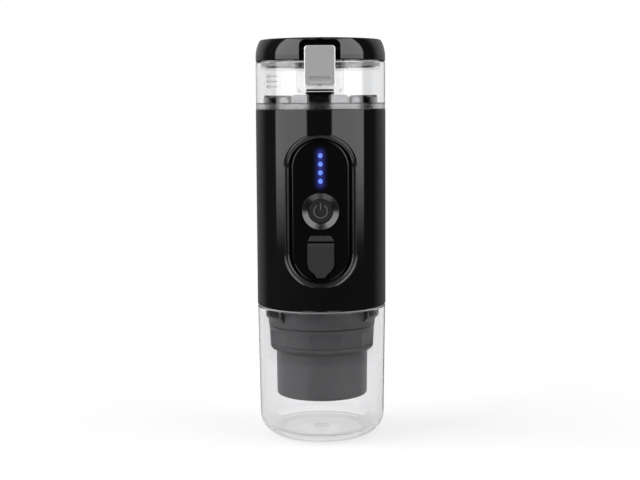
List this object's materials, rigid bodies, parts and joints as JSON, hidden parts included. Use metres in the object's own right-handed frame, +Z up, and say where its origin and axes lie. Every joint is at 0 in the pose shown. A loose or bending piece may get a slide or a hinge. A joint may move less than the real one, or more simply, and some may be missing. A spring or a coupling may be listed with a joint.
{
  "type": "portable coffee machine",
  "caption": "Slim battery coffee maker: clear cup below, black body with control panel, clear water tank and latched lid on top; cup, lid, latch, button, port flap and capsule holder move.",
  "frame": {"origin": "centre of the cup's flat foot, on the surface that it stands on", "axes": "+Z up along the body, -Y out of the control panel, +X to the right seen from the panel"},
  "size_m": [0.072, 0.072, 0.2215],
  "materials": {
    "clear_plastic": "clear moulded plastic",
    "liner_plastic": "clear moulded plastic",
    "gloss_black": "polished black",
    "panel_black": "polished black",
    "grey_plastic": "satin dark grey",
    "nozzle_plastic": "satin black",
    "silicone": "pale silicone",
    "pad_rubber": "matt black rubber",
    "flap_rubber": "matt dark grey rubber",
    "latch_silver": "satin silver grey",
    "polished_steel": "polished",
    "pin_steel": "drawn steel",
    "heater_metal": "dull steel",
    "bezel_metal": "turned gunmetal",
    "cap_black": "satin black",
    "light_blue": "lit blue",
    "board_green": "solder mask",
    "switch_black": "moulded",
    "frame_black": "moulded",
    "stand_beige": "heat resistant",
    "cell_wrap": "shrink wrap over metal cans",
    "pump_plastic": "moulded",
    "motor_steel": "plated",
    "hose_silicone": "clear silicone"
  },
  "bodies": {
    "cup": {"cup": "clear_plastic"},
    "lid": {"lid_cover": "gloss_black", "lid_liner": "liner_plastic", "lid_seal": "silicone", "latch_pin": "pin_steel"},
    "latch": {"latch": "latch_silver"},
    "power_button": {"power_button": "cap_black"},
    "port_flap": {"port_flap": "flap_rubber"},
    "capsule_holder": {"holder_ring": "grey_plastic", "holder_cup": "grey_plastic", "outlet_nozzle": "nozzle_plastic", "coffee_basket": "polished_steel", "basket_filter": "polished_steel"},
    "machine": {"water_tank": "clear_plastic", "body_shell": "gloss_black", "control_panel": "panel_black", "base_ring": "grey_plastic", "brew_head": "nozzle_plastic", "cup_seal": "silicone", "brew_seal": "silicone", "pan_seal": "silicone", "grip_pads": "pad_rubber", "flap_anchor": "flap_rubber", "tank_ring": "polished_steel", "heater_pan": "polished_steel", "shower_screen": "polished_steel", "lid_hinge_pin": "pin_steel", "deck_screws": "pin_steel", "charge_socket": "pin_steel", "heating_element": "heater_metal", "heat_sensor": "heater_metal", "button_bezel": "bezel_metal", "indicator_lights": "light_blue", "control_board": "board_green", "tact_switch": "switch_black", "chassis_deck": "frame_black", "cell_cradle_low": "frame_black", "cell_cradle_high": "frame_black", "heater_stand": "stand_beige", "battery_cells": "cell_wrap", "pump_head": "pump_plastic", "pump_motor": "motor_steel", "suction_hose": "hose_silicone", "pressure_hose": "hose_silicone"}
  },
  "joints": [
    {"name": "machine_lift", "type": "slide", "parent": "cup", "child": "machine", "axis": [0, 0, 1], "range_m": [0, 0.08]},
    {"name": "lid_hinge", "type": "hinge", "parent": "machine", "child": "lid", "pos_m": [0, 0.0332, 0.2114], "axis": [-1, 0, 0], "range_deg": [0, 105]},
    {"name": "latch_hinge", "type": "hinge", "parent": "lid", "child": "latch", "pos_m": [0, -0.032, 0.2146], "axis": [-1, 0, 0], "range_deg": [0, 95]},
    {"name": "button_press", "type": "slide", "parent": "machine", "child": "power_button", "axis": [0, 1, 0], "range_m": [0, 0.0009], "stiffness_N_per_m": 1500},
    {"name": "flap_hinge", "type": "hinge", "parent": "machine", "child": "port_flap", "pos_m": [0, -0.03225, 0.11], "axis": [-1, 0, 0], "range_deg": [0, 100]},
    {"name": "holder_turn", "type": "hinge", "parent": "machine", "child": "capsule_holder", "pos_m": [0, 0, 0.06], "axis": [0, 0, 1], "range_deg": [0, 30]}
  ]
}
